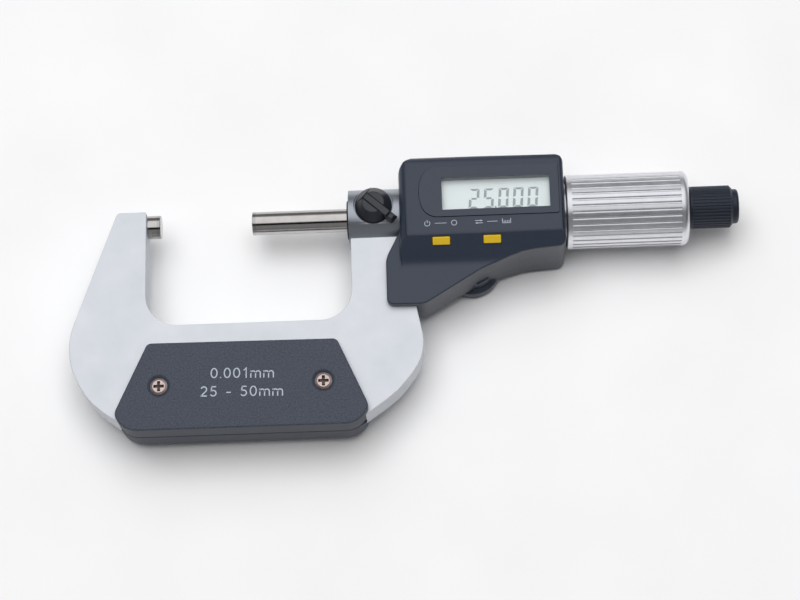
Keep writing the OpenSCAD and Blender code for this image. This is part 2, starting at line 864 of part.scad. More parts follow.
module board_screws() {
    color("silver") for (p = board_screw_at) translate([p[0], p[1], board_z[0]]) mirror([0, 0, 1])
        cross_screw(2 * board_screw_r, 0.9, board_screw_r, board_screw);
}

// A cap that slides through the slope, with a flange behind the wall and a stem above the mat
module button(at) {
    color("gold") on_slope(at) {
        block([0, 0], button_size, button_z[0], button_z[1]);
        block([0, 0], flange_size, flange_z[0], flange_z[1]);
        posts([[0, 0]], stem_z, flange_z[0] + 2 * play, stem_r);
    }
}

module set_button() {
    button(button_at[0]);
}

module unit_button() {
    button(button_at[1]);
}

// A strip on the board with a low dome under each button
module button_mat() {
    dome_z = board_z[1] + mat_t;
    color("dimgray") {
        translate([mat_at[0], mat_at[1], board_z[1]]) cube([mat_size[0], mat_size[1], mat_t]);
        for (b = button_at) translate([b[0], b[1] + 1.9, dome_z - eps])
            cylinder(h = mat_t, r1 = 1.3, r2 = 0.8);
    }
}

// ---------------------------------------------------------------- battery

module battery() {
    color("silver") {
        posts([battery_at], battery_z[0], battery_z[0] + battery_step, battery_r);
        posts([battery_at], battery_z[0] + battery_step - eps, battery_z[1], battery_r - over);
    }
}

// A spring disc over the battery, with its tail to the board
module battery_contacts() {
    color("goldenrod") {
        posts([battery_at], battery_z[1], battery_z[1] + contact_t, contact_r);
        translate([battery_at[0] - contact_leaf_w / 2, battery_at[1] + contact_r - 0.5, battery_z[1] + gap])
            cube([contact_leaf_w, contact_t, board_z[0] - battery_z[1] - gap]);
    }
}

module battery_cap() {
    color("dimgray") difference() {
        union() {
            posts([battery_at], cap_seat_z - seal_t - cap_t, cap_seat_z - seal_t, cap_r);
            posts([battery_at], cap_seat_z - seal_t - eps, cap_seat_z - seal_t + cap_neck, cap_neck_r);
        }
        translate([battery_at[0], battery_at[1], cap_seat_z - seal_t - cap_t])
            cube(cap_slot, center = true);
    }
}

module battery_seal() {
    color("black") difference() {
        posts([battery_at], cap_seat_z - seal_t, cap_seat_z, cap_r - 2 * play);
        posts([battery_at], cap_seat_z - over, far, cap_neck_r + 2 * play);
    }
}

frame();
anvil();
anvil_tip();
grip_front();
grip_rear();
grip_screws_front();
grip_screws_rear();
guide_bush();
spindle_seal();
lock_lever();
lock_screw();
lock_pad();
encoder_case();
encoder_stator();
encoder_rotor();
rotor_bush();
rotor_key();
thrust_washer();
barrel();
sleeve();
adjusting_nut();
spindle();
spindle_tip();
thimble();
ratchet_base();
ratchet_screw();
ratchet_crown();
ratchet_spring();
ratchet_knob();
ratchet_cap();
housing_front();
housing_rear();
housing_screws();
display_bezel();
display_window();
lcd_panel();
lcd_frame();
zebra_strips();
circuit_board();
board_parts();
board_screws();
set_button();
unit_button();
button_mat();
battery();
battery_contacts();
battery_cap();
battery_seal();
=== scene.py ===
import math

import bmesh
import bpy
from mathutils import Matrix, Vector


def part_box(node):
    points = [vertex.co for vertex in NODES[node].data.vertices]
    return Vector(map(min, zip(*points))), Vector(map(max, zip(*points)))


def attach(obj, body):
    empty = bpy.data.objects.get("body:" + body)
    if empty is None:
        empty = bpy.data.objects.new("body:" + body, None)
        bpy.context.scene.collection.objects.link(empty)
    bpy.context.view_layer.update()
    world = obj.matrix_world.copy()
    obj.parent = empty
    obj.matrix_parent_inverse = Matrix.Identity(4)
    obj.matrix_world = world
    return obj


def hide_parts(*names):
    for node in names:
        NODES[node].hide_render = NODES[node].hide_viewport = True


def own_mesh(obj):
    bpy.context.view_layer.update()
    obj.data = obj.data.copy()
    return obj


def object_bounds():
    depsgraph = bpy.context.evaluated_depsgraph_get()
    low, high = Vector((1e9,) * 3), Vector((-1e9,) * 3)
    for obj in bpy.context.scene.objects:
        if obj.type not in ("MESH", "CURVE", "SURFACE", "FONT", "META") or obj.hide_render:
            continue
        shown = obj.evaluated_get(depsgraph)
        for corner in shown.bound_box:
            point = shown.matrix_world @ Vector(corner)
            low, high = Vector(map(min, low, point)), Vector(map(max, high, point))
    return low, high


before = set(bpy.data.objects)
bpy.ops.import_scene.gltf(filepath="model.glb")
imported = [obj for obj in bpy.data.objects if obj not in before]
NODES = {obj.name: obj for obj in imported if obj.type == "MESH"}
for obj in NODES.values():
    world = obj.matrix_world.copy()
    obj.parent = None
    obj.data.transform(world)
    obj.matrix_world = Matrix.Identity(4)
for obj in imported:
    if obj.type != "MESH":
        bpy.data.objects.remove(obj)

MM = 0.001
CAD_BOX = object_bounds()

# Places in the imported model, in millimetres
HUB_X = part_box("spindle_seal")[0].x / MM + 0.5
GRIP_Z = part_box("grip_front")[1].z / MM
FACE_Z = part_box("housing_front")[1].z / MM
LCD_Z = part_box("lcd_panel")[1].z / MM
# Radius round the measuring axis within which the frame's hub is bare metal
HUB_R = 8.15
# Middle of the object on the floor, where the lights point
MIDDLE = Vector((0.065, -0.02, 0))


# ------------------------------------------------------------------ small helpers

def srgb(r, g, b):
    """A colour given as 0 to 255 per channel, as the linear values that a shader wants."""
    def linear(c):
        c = c / 255
        return c / 12.92 if c <= 0.04045 else ((c + 0.055) / 1.055) ** 2.4
    return (linear(r), linear(g), linear(b))


def add(m, kind, inputs=None, **settings):
    """A new node. An input given as another node's output is linked, and any other value is set."""
    n = m.node_tree.nodes.new(kind)
    for key, value in settings.items():
        setattr(n, key, value)
    for key, value in (inputs or {}).items():
        if isinstance(value, bpy.types.NodeSocket):
            m.node_tree.links.new(value, n.inputs[key])
        else:
            n.inputs[key].default_value = value
    return n


def material(name, color, metallic=0.0, roughness=0.5, sockets=None):
    """A material whose constants sit on the shader's own sockets."""
    m = bpy.data.materials.new(name)
    m.use_nodes = True
    shader = m.node_tree.nodes["Principled BSDF"]
    shader.inputs["Base Color"].default_value = (*color, 1)
    shader.inputs["Metallic"].default_value = metallic
    shader.inputs["Roughness"].default_value = roughness
    for key, value in (sockets or {}).items():
        shader.inputs[key].default_value = value
    return m


def drive(m, socket, output):
    """Links an output to one of the material's shader sockets."""
    m.node_tree.links.new(output, m.node_tree.nodes["Principled BSDF"].inputs[socket])


def place(m):
    """A point's place in the object, in metres."""
    return add(m, "ShaderNodeTexCoord").outputs["Object"]


def grain(m, size, detail=2.0, stretch=(1, 1, 1)):
    """Noise from 0 to 1 with features of that size in millimetres, longer along an axis by its stretch."""
    scale = [1 / (size * MM * s) for s in stretch]
    mapping = add(m, "ShaderNodeMapping", {"Vector": place(m), "Scale": scale})
    noise = add(m, "ShaderNodeTexNoise",
                {"Vector": mapping.outputs["Vector"], "Scale": 1.0, "Detail": detail})
    return noise.outputs["Fac"]


def spread(m, value, low, high, start=0.3, end=0.7):
    """A value between start and end, as one between low and high."""
    return add(m, "ShaderNodeMapRange", {
        "Value": value, "From Min": start, "From Max": end, "To Min": low, "To Max": high}).outputs["Result"]


def blend_colors(m, fac, a, b):
    """Colour a where fac is 0 and colour b where it is 1."""
    n = add(m, "ShaderNodeMix", data_type="RGBA")
    m.node_tree.links.new(fac, n.inputs["Factor"])
    for index, value in ((6, a), (7, b)):
        if isinstance(value, bpy.types.NodeSocket):
            m.node_tree.links.new(value, n.inputs[index])
        else:
            n.inputs[index].default_value = (*value, 1)
    return n.outputs[2]


def math_node(m, operation, a, b=0.0):
    """Result of a sum on two values, each a number or another node's output."""
    n = add(m, "ShaderNodeMath", operation=operation)
    for index, value in ((0, a), (1, b)):
        if isinstance(value, bpy.types.NodeSocket):
            m.node_tree.links.new(value, n.inputs[index])
        else:
            n.inputs[index].default_value = value
    return n.outputs[0]


def emboss(m, height, depth):
    """Bump of that depth in millimetres."""
    bump = add(m, "ShaderNodeBump", {"Height": height, "Distance": depth * MM, "Strength": 1.0})
    drive(m, "Normal", bump.outputs["Normal"])


def recess_shade(m, distance):
    """Mask for painted shade: 1 in the open and towards 0 deep inside a recess of that size in millimetres.
    """
    hollow = add(m, "ShaderNodeAmbientOcclusion", {"Distance": distance * MM}, samples=8, only_local=True)
    return spread(m, hollow.outputs["AO"], 0.0, 1.0, 0.6, 0.9)


def worn_edges(m, radius):
    """1 along sharp edges and 0 on flat stretches, from how far a rounded normal leans."""
    soft = add(m, "ShaderNodeBevel", {"Radius": radius * MM}, samples=4)
    true = add(m, "ShaderNodeNewGeometry")
    dot = add(m, "ShaderNodeVectorMath", {0: soft.outputs["Normal"], 1: true.outputs["Normal"]},
              operation="DOT_PRODUCT")
    return spread(m, dot.outputs["Value"], 1.0, 0.0, 0.86, 0.99)


# ------------------------------------------------------------------ materials

def turned_metal(name, color, roughness, ring=0.05, depth=0.0006):
    """Metal with fine rings round the spindle's axis, as turning or grinding leaves them."""
    m = material(name, color, 1.0, roughness)
    rings = grain(m, ring, 3.0, (1, 60, 60))
    clouds = grain(m, 3.0)
    shade = blend_colors(m, spread(m, clouds, 0, 1), tuple(c * 0.9 for c in color), color)
    drive(m, "Base Color", shade)
    mixed = math_node(m, "ADD", spread(m, rings, -0.03, 0.04), spread(m, clouds, roughness, roughness * 1.15))
    drive(m, "Roughness", mixed)
    emboss(m, rings, depth)
    return m


def screw_metal(name, color):
    """Plated screw heads, with painted shade that makes them dark down in the cross recess."""
    m = turned_metal(name, color, 0.36, 0.1, 0.0006)
    clouds = grain(m, 0.5)
    plate = blend_colors(m, spread(m, clouds, 0, 1), tuple(c * 0.86 for c in color), color)
    # Painted shade: the plating is coloured nearly black deep in the cross recess, standing in for the shadow
    # inside it
    drive(m, "Base Color", blend_colors(m, recess_shade(m, 0.9), tuple(c * 0.02 for c in color), plate))
    return m


def frame_finish():
    """Pale satin lacquer on the frame, and bare satin metal on the hub round the measuring axis."""
    m = material("frame_satin", srgb(226, 230, 236), 0.1, 0.42)
    xyz = add(m, "ShaderNodeSeparateXYZ", {"Vector": place(m)}).outputs
    y2 = math_node(m, "MULTIPLY", xyz["Y"], xyz["Y"])
    z2 = math_node(m, "MULTIPLY", xyz["Z"], xyz["Z"])
    near = math_node(m, "LESS_THAN", math_node(m, "ADD", y2, z2), (HUB_R * MM) ** 2)
    hub = math_node(m, "MULTIPLY", near, math_node(m, "GREATER_THAN", xyz["X"], (HUB_X - 0.05) * MM))
    mottle = grain(m, 9.0, 3.0)
    lacquer = blend_colors(m, spread(m, mottle, 0, 1), srgb(203, 208, 214), srgb(214, 217, 222))
    lacquer = blend_colors(m, worn_edges(m, 0.25), lacquer, srgb(228, 230, 234))
    drive(m, "Base Color", blend_colors(m, hub, lacquer, srgb(172, 178, 186)))
    drive(m, "Metallic", spread(m, hub, 0.1, 1.0, 0, 1))
    drive(m, "Roughness", spread(m, hub, 0.42, 0.38, 0, 1))
    emboss(m, grain(m, 0.35, 3.0), 0.004)
    return m


def moulded(name, color, spark=0.28, depth=0.014, roughness=0.55, mottle=0.16, gloss=0.3):
    """Moulded plastic with a spark-eroded grain, a little lighter where hands rub its edges."""
    m = material(name, color, 0.0, roughness, {"Specular IOR Level": gloss})
    fine = grain(m, spark, 3.0)
    wide = grain(m, 7.0, 2.0)
    dark = tuple(c * (1 - mottle) for c in color)
    light = tuple(c * (1 + mottle) for c in color)
    body = blend_colors(m, spread(m, fine, 0, 1), dark, light)
    body = blend_colors(m, spread(m, wide, 0, 0.12), body, light)
    rub = tuple(min(1, c * 1.5 + 0.01) for c in color)
    drive(m, "Base Color", blend_colors(m, math_node(m, "MULTIPLY", worn_edges(m, 0.3), 0.35), body, rub))
    drive(m, "Roughness", spread(m, fine, roughness - 0.07, roughness + 0.09))
    emboss(m, fine, depth)
    return m


def anodised(name, color):
    """Dyed aluminium with fine turning rings, and bright where its edges are worn."""
    m = material(name, color, 0.55, 0.42)
    fine = grain(m, 0.12, 2.0, (1, 12, 12))
    bright = tuple(min(1, c * 2.4 + 0.01) for c in color)
    drive(m, "Base Color", blend_colors(m, worn_edges(m, 0.15), color, bright))
    drive(m, "Roughness", spread(m, fine, 0.36, 0.5))
    emboss(m, fine, 0.002)
    return m


def rubber(name, color):
    """Matt rubber with a fine uneven skin."""
    m = material(name, color, 0.0, 0.75, {"Sheen Weight": 0.15})
    fine = grain(m, 0.2, 3.0)
    drive(m, "Base Color", blend_colors(m, spread(m, fine, 0, 1), tuple(c * 0.8 for c in color), color))
    emboss(m, fine, 0.01)
    return m


def clear_window():
    """Clear acrylic with the faintest haze, drawn as a thin sheet that lets the light through."""
    m = material("clear_acrylic", srgb(235, 242, 242), 0.0, 0.06, {"Alpha": 0.06, "IOR": 1.49})
    drive(m, "Roughness", spread(m, grain(m, 2.0, 3.0), 0.04, 0.09))
    return m


def lcd_glass():
    """The pale reflective back of a liquid crystal panel, with a very fine grain."""
    m = material("lcd_glass", srgb(222, 230, 230), 0.0, 0.35)
    fine = grain(m, 0.06, 2.0)
    drive(m, "Base Color", blend_colors(m, spread(m, fine, 0, 1), srgb(216, 226, 227), srgb(226, 234, 234)))
    return m


def board_finish(name, color, copper):
    """Solder resist over traces, which run as raised bands."""
    m = material(name, color, 0.0, 0.4, {"Coat Weight": 0.3})
    bands = add(m, "ShaderNodeTexBrick", {
        "Vector": place(m), "Scale": 420.0, "Mortar Size": 0.02, "Color1": (0, 0, 0, 1),
        "Color2": (0.2, 0.2, 0.2, 1), "Mortar": (1, 1, 1, 1)}).outputs["Color"]
    drive(m, "Base Color", blend_colors(m, bands, color, copper))
    emboss(m, bands, 0.03)
    return m


ELECTRODES = 48


def disc_finish(name, color, copper):
    """An encoder disc with electrodes that run outwards from its bore."""
    m = material(name, color, 0.0, 0.4)
    xyz = add(m, "ShaderNodeSeparateXYZ", {"Vector": place(m)}).outputs
    turn = math_node(m, "ARCTAN2", xyz["Y"], xyz["Z"])
    wave = math_node(m, "SINE", math_node(m, "MULTIPLY", turn, ELECTRODES))
    stripes = math_node(m, "GREATER_THAN", wave, 0.0)
    drive(m, "Base Color", blend_colors(m, stripes, color, copper))
    drive(m, "Metallic", stripes)
    return m


def floor_finish():
    """Pale matt paper."""
    m = material("floor_paper", srgb(244, 244, 244), 0.0, 0.9)
    soft = grain(m, 40.0, 2.0)
    drive(m, "Base Color", blend_colors(m, spread(m, soft, 0, 1), srgb(242, 242, 242), srgb(246, 246, 246)))
    return m


STEEL = turned_metal("ground_steel", srgb(196, 193, 190), 0.12, 0.035, 0.0002)
CARBIDE = turned_metal("carbide_tip", srgb(180, 178, 176), 0.14, 0.03, 0.0002)
CHROME = turned_metal("satin_chrome", srgb(214, 217, 221), 0.26)
ALUMINIUM = turned_metal("satin_aluminium", srgb(234, 235, 239), 0.33, 0.09, 0.0004)
TURNED = turned_metal("turned_steel", srgb(178, 178, 176), 0.28, 0.12, 0.0015)
HARDENED = turned_metal("hardened_steel", srgb(128, 126, 124), 0.34, 0.08, 0.001)
BRASS = turned_metal("turned_brass", srgb(212, 172, 96), 0.26, 0.09, 0.001)
NICKEL = screw_metal("screw_nickel", srgb(222, 202, 196))
FRAME = frame_finish()
GRIP = moulded("grip_plastic", srgb(66, 71, 82), 0.42, 0.03, 0.5, 0.34)
HOUSING = moulded("housing_plastic", srgb(43, 51, 65), 0.22, 0.006, 0.36, 0.08, 0.5)
BEZEL = moulded("bezel_plastic", srgb(46, 54, 67), 0.2, 0.005, 0.34, 0.06, 0.5)
LEVER = moulded("lever_plastic", srgb(38, 40, 47), 0.2, 0.006, 0.34, 0.12, 0.55)
CAP = moulded("cap_plastic", srgb(46, 48, 52), 0.25, 0.01)
LCD_HOLDER = moulded("lcd_holder_plastic", srgb(92, 96, 104), 0.25, 0.006)
RESIN = moulded("chip_resin", srgb(24, 24, 26), 0.15, 0.008)
BUTTON = moulded("button_yellow", srgb(216, 180, 42), 0.2, 0.005, 0.4, 0.06)
KNOB = anodised("knob_anodised", srgb(46, 51, 61))
SEAL = rubber("seal_rubber", srgb(28, 29, 32))
MAT = rubber("mat_rubber", srgb(92, 94, 98))
ZEBRA = rubber("zebra_rubber", srgb(70, 70, 74))
WINDOW = clear_window()
LCD = lcd_glass()
BOARD = board_finish("board_green", srgb(26, 84, 50), srgb(60, 128, 80))
DISC = disc_finish("disc_green", srgb(28, 92, 60), srgb(206, 160, 84))
LETTERING = moulded("lettering_grey", srgb(176, 184, 196), 0.15, 0.002, 0.5, 0.04)
SEGMENTS = moulded("segment_grey", srgb(138, 148, 152), 0.1, 0.001, 0.4, 0.04)

FINISH = {
    "frame": FRAME, "anvil": STEEL, "anvil_tip": CARBIDE, "spindle": STEEL, "spindle_tip": CARBIDE,
    "grip_front": GRIP, "grip_rear": GRIP, "grip_screws_front": NICKEL, "grip_screws_rear": NICKEL,
    "guide_bush": BRASS, "spindle_seal": SEAL, "lock_lever": LEVER, "lock_screw": HARDENED,
    "lock_pad": BRASS, "encoder_case": CHROME, "encoder_stator": DISC, "encoder_rotor": DISC,
    "rotor_bush": BRASS, "rotor_key": HARDENED, "thrust_washer": TURNED, "barrel": TURNED,
    "sleeve": CHROME, "adjusting_nut": TURNED, "thimble": ALUMINIUM, "ratchet_base": HARDENED,
    "ratchet_screw": HARDENED, "ratchet_crown": HARDENED, "ratchet_spring": HARDENED,
    "ratchet_knob": KNOB, "ratchet_cap": KNOB, "housing_front": HOUSING, "housing_rear": HOUSING,
    "housing_screws": NICKEL, "display_bezel": BEZEL, "display_window": WINDOW, "lcd_panel": LCD,
    "lcd_frame": LCD_HOLDER, "zebra_strips": ZEBRA, "circuit_board": BOARD, "board_parts": RESIN,
    "board_screws": NICKEL, "set_button": BUTTON, "unit_button": BUTTON, "button_mat": MAT,
    "battery": CHROME, "battery_contacts": BRASS, "battery_cap": CAP, "battery_seal": SEAL,
}

# Angle in degrees between two faces above which their edge is sharp
SHARP_ANGLE = 38
# Radius in millimetres that a node's sharp edges are rounded by
EDGE = {
    "frame": 0.3, "grip_front": 0.55, "grip_rear": 0.55, "lock_lever": 0.25, "housing_front": 0.4,
    "housing_rear": 0.4, "set_button": 0.25, "unit_button": 0.25, "battery_cap": 0.2,
    "spindle_seal": 0.15,
}
# Nodes near which a node's edges stay nearly sharp, with how far round them in millimetres
KEEP_SHARP = {
    "frame": {"guide_bush": (2.5, 4, 4)},
    "housing_front": {"set_button": (0.5, 0.5, 0.5), "unit_button": (0.5, 0.5, 0.5),
                      "display_bezel": (0.5, 0.5, 0.5), "lcd_frame": (0.6, 0.6, 0.6),
                      "circuit_board": (1, 1.5, 3.5)},
}
# Heights in millimetres above and below z = 0 between which a node's edges stay nearly sharp: the seam of
# the housing's shells, and the walls of the grip covers between their own seam and their top faces
SHARP_BAND = {
    "housing_front": (-1, 0.05), "housing_rear": (-1, 0.05),
    "grip_front": (0.5, GRIP_Z - 1), "grip_rear": (0.5, GRIP_Z - 1),
}
# Share of the rounding that a nearly sharp edge gets
SHARP_SHARE = 0.08


def sharp_edge_weights(name):
    """Geometry nodes that give each sharp edge of the node the bevel weight 1, or SHARP_SHARE in its
    SHARP_BAND and near its KEEP_SHARP nodes."""
    tree = bpy.data.node_groups.new(name + "_edges", "GeometryNodeTree")
    tree.interface.new_socket("Geometry", in_out="INPUT", socket_type="NodeSocketGeometry")
    tree.interface.new_socket("Geometry", in_out="OUTPUT", socket_type="NodeSocketGeometry")

    def node(kind, *inputs, **settings):
        n = tree.nodes.new(kind)
        for key, value in settings.items():
            setattr(n, key, value)
        for index, value in inputs:
            if isinstance(value, bpy.types.NodeSocket):
                tree.links.new(value, n.inputs[index])
            else:
                n.inputs[index].default_value = value
        return n

    def calc(operation, a, b):
        return node("ShaderNodeMath", (0, a), (1, b), operation=operation).outputs[0]

    angle = node("GeometryNodeInputMeshEdgeAngle").outputs["Unsigned Angle"]
    place_of = node("GeometryNodeInputPosition").outputs[0]
    weight = calc("GREATER_THAN", angle, math.radians(SHARP_ANGLE))
    height = node("ShaderNodeSeparateXYZ", (0, place_of)).outputs["Z"]
    height = calc("ABSOLUTE", height, 0.0)
    low, high = SHARP_BAND.get(name, (0, 0))
    band = calc("MULTIPLY", calc("GREATER_THAN", height, low * MM), calc("LESS_THAN", height, high * MM))
    free = calc("SUBTRACT", 1.0, band)
    for other, margin in KEEP_SHARP.get(name, {}).items():
        corner_a, corner_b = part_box(other)
        middle = (corner_a + corner_b) / 2
        reach = (corner_b - corner_a) / 2 + Vector(margin) * MM
        away = node("ShaderNodeVectorMath", (0, place_of), (1, tuple(middle)),
                    operation="SUBTRACT").outputs[0]
        away = node("ShaderNodeVectorMath", (0, away), operation="ABSOLUTE").outputs[0]
        away = node("ShaderNodeVectorMath", (0, away), (1, tuple(reach)), operation="SUBTRACT").outputs[0]
        xyz = node("ShaderNodeSeparateXYZ", (0, away)).outputs
        outside = calc("GREATER_THAN", calc("MAXIMUM", xyz["X"], calc("MAXIMUM", xyz["Y"], xyz["Z"])), 0.0)
        free = calc("MULTIPLY", free, outside)
    weight = calc("MULTIPLY", weight, calc("MAXIMUM", free, SHARP_SHARE))
    start = tree.nodes.new("NodeGroupInput")
    end = tree.nodes.new("NodeGroupOutput")
    store = node("GeometryNodeStoreNamedAttribute", data_type="FLOAT", domain="EDGE")
    store.inputs["Name"].default_value = "bevel_weight_edge"
    tree.links.new(start.outputs[0], store.inputs["Geometry"])
    tree.links.new(weight, store.inputs["Value"])
    tree.links.new(store.outputs[0], end.inputs[0])
    return tree


def dress(name):
    """Gives a CAD node its finish, and rounds its sharp edges."""
    obj = NODES[name]
    if not obj.material_slots:
        obj.data.materials.append(FINISH[name])
    for slot in obj.material_slots:
        slot.link = "OBJECT"
        slot.material = FINISH[name]
    if name not in EDGE:
        return
    weld = obj.modifiers.new("weld", "WELD")
    weld.merge_threshold = 0.001 * MM
    flat = obj.modifiers.new("flat_faces", "DECIMATE")
    flat.decimate_type = "DISSOLVE"
    flat.angle_limit = math.radians(0.5)
    weights = obj.modifiers.new("edge_weights", "NODES")
    weights.node_group = sharp_edge_weights(name)
    bevel = obj.modifiers.new("round_edges", "BEVEL")
    bevel.width = EDGE[name] * MM
    bevel.segments = 3
    bevel.limit_method = "WEIGHT"
    bevel.use_clamp_overlap = False
    normals = obj.modifiers.new("even_normals", "WEIGHTED_NORMAL")
    normals.keep_sharp = False
    normals.weight = 80


# ------------------------------------------------------------------ drawn pieces

def add_piece(name, bm, finish, body):
    """Turns the mesh being built into a piece that rides on the body."""
    bmesh.ops.recalc_face_normals(bm, faces=bm.faces)
    mesh = bpy.data.meshes.new(name)
    bm.to_mesh(mesh)
    bm.free()
    mesh.materials.append(finish)
    obj = bpy.data.objects.new(name, mesh)
    bpy.context.scene.collection.objects.link(obj)
    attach(obj, body)
    return obj


def prisms(name, outlines, z0, z1, finish, body):
    """Flat shapes given as lists of [x, y] in millimetres, each raised from z0 to z1, as one piece."""
    bm = bmesh.new()
    for points in outlines:
        face = bm.faces.new([bm.verts.new((x * MM, y * MM, z0 * MM)) for x, y in points])
        grown = bmesh.ops.extrude_face_region(bm, geom=[face])["geom"]
        up = [v for v in grown if isinstance(v, bmesh.types.BMVert)]
        bmesh.ops.translate(bm, verts=up, vec=(0, 0, (z1 - z0) * MM))
    return add_piece(name, bm, finish, body)


# The ratchet's spring, with its radius in millimetres
SPRING_TURNS = 4
SPRING_WIRE_R = 0.22
STEPS_PER_TURN = 40
WIRE_SIDES = 12


def ratchet_coil():
    """The ratchet's spring, a wire wound along X."""
    low, high = (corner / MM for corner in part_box("ratchet_spring"))
    coil_r = high.y - SPRING_WIRE_R
    steps = STEPS_PER_TURN * SPRING_TURNS
    bm = bmesh.new()
    rings = []
    for i in range(steps + 1):
        turn = 2 * math.pi * i / STEPS_PER_TURN
        x = low.x + SPRING_WIRE_R + (high.x - low.x - 2 * SPRING_WIRE_R) * i / steps
        ring = []
        for j in range(WIRE_SIDES):
            side = 2 * math.pi * j / WIRE_SIDES
            r = coil_r + SPRING_WIRE_R * math.cos(side)
            point = Vector((x + SPRING_WIRE_R * math.sin(side), r * math.cos(turn), r * math.sin(turn)))
            ring.append(bm.verts.new(point * MM))
        rings.append(ring)
    for a, b in zip(rings, rings[1:]):
        for j in range(WIRE_SIDES):
            k = (j + 1) % WIRE_SIDES
            bm.faces.new((a[j], a[k], b[k], b[j])).smooth = True
    bm.faces.new(rings[0])
    bm.faces.new(rings[-1])
    coil = add_piece("ratchet_coil", bm, HARDENED, "spindle_body")
    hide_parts("ratchet_spring")
    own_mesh(coil)


# Digits of the reading, in millimetres: size, place of the first one's lower left corner, distance from one
# to the next, and thickness of the upright and level segments
DIGIT_W = 2.75
DIGIT_H = 5.6
DIGIT_X0 = 83.95
DIGIT_Y0 = -1.1
DIGIT_PITCH = 3.96
STROKE_X = 0.72
STROKE_Y = 0.56
SEGMENT_GAP = 0.13
DOT_W = 0.5
DOT_H = 0.55
DOT_LEAD = 0.85
SLANT = math.tan(math.radians(5))
# Segments that each figure lights
LIT = {"0": "abcdef", "2": "abged", "5": "afgcd"}


def bar(x0, y0, x1, y1):
    """Outline of an upright rectangle."""
    return [(x0, y0), (x1, y0), (x1, y1), (x0, y1)]


def segment(kind):
    """Outline of one segment in a digit that is DIGIT_W wide and DIGIT_H high, with mitred ends."""
    w, h, sx, sy, gap = DIGIT_W, DIGIT_H, STROKE_X, STROKE_Y, SEGMENT_GAP
    half = h / 2
    shapes = {
        "a": [(gap, h), (w - gap, h), (w - sx - gap, h - sy), (sx + gap, h - sy)],
        "d": [(sx + gap, sy), (w - sx - gap, sy), (w - gap, 0), (gap, 0)],
        "g": [(gap + sx / 2, half), (sx + gap, half + sy / 2), (w - sx - gap, half + sy / 2),
              (w - gap - sx / 2, half), (w - sx - gap, half - sy / 2), (sx + gap, half - sy / 2)],
        "f": [(0, h - gap), (sx, h - sy - gap), (sx, half + sy / 2 + gap), (0, half + gap)],
        "b": [(w, h - gap), (w, half + gap), (w - sx, half + sy / 2 + gap), (w - sx, h - sy - gap)],
        "e": [(0, gap), (0, half - gap), (sx, half - sy / 2 - gap), (sx, sy + gap)],
        "c": [(w, gap), (w - sx, sy + gap), (w - sx, half - sy / 2 - gap), (w, half - gap)],
    }
    return shapes[kind]


def lcd_digits():
    """The reading 25.000 in slanted seven-segment digits on the panel."""
    outlines = []
    for i, digit in enumerate("25000"):
        for kind in LIT[digit]:
            outlines.append([
                (DIGIT_X0 + i * DIGIT_PITCH + x + y * SLANT, DIGIT_Y0 + y) for x, y in segment(kind)])
    dot_x = DIGIT_X0 + 2 * DIGIT_PITCH - DOT_LEAD
    outlines.append(bar(dot_x, DIGIT_Y0, dot_x + DOT_W, DIGIT_Y0 + DOT_H))
    prisms("lcd_digits", outlines, LCD_Z + 0.005, LCD_Z + 0.03, SEGMENTS, "frame_body")


def bow(cx, cy, rx, ry, start, end, steps=14):
    """Points on part of an ellipse, between two angles in degrees."""
    angles = [math.radians(start + (end - start) * k / steps) for k in range(steps + 1)]
    return [(cx + rx * math.cos(a), cy + ry * math.sin(a)) for a in angles]


def ribbon(points, width):
    """Outline of a stroke of that width along the points."""
    ways = [Vector(b) - Vector(a) for a, b in zip(points, points[1:])]
    left, right = [], []
    for i, point in enumerate(points):
        before = ways[max(i - 1, 0)].normalized()
        after = ways[min(i, len(ways) - 1)].normalized()
        way = (before + after).normalized()
        side = Vector((-way.y, way.x)) * width / 2 / max(way.dot(after), 0.5)
        left.append(tuple(Vector(point) + side))
        right.append(tuple(Vector(point) - side))
    return left + right[::-1]


# Each sign as its width and its strokes, on a height of 1
SIGNS = {
    "0": (0.66, [bow(0.33, 0.5, 0.28, 0.45, 90, 270), bow(0.33, 0.5, 0.28, 0.45, -90, 90)]),
    "1": (0.5, [[(0.1, 0.74), (0.22, 0.82), (0.34, 0.97), (0.34, 0)]]),
    "2": (0.66, [bow(0.33, 0.69, 0.26, 0.26, 165, -35) + [(0.08, 0.06)], [(0.03, 0.05), (0.63, 0.05)]]),
    "5": (0.66, [[(0.59, 0.95), (0.13, 0.95)], [(0.18, 0.96), (0.11, 0.5)],
                 bow(0.31, 0.32, 0.28, 0.27, 138, -150)]),
    "m": (1.0, [[(0.05, 0), (0.05, 0.7)], bow(0.275, 0.44, 0.225, 0.22, 180, 0) + [(0.5, 0)],
                bow(0.725, 0.44, 0.225, 0.22, 180, 0) + [(0.95, 0)]]),
    ".": (0.12, [[(0.06, 0), (0.06, 0.11)]]),
    "-": (0.42, [[(0, 0.38), (0.42, 0.38)]]),
    " ": (0.42, []),
}
# Thickness of a stroke on a height of 1, and how far the lettering leans from the measuring axis
STROKE = 0.115
TEXT_TURN = math.radians(-1.35)
# Lowest and highest point of printed ink above its surface, in millimetres
INK = (0.002, 0.02)


def lettering(name, words, x0, baseline, width, height):
    """Words of that width and height in plain strokes, printed on the front grip cover."""
    own = sum(SIGNS[sign][0] for sign in words) * height
    spacing = (width - own) / (len(words) - 1)
    outlines = []
    along = 0
    for sign in words:
        sign_width, strokes = SIGNS[sign]
        for stroke in strokes:
            outline = ribbon([(along + x * height, y * height) for x, y in stroke], STROKE * height)
            turned = [Matrix.Rotation(TEXT_TURN, 2) @ Vector(point) for point in outline]
            outlines.append([(x0 + v.x, baseline + v.y) for v in turned])
        along += sign_width * height + spacing
    prisms(name, outlines, GRIP_Z + INK[0], GRIP_Z + INK[1], LETTERING, "frame_body")


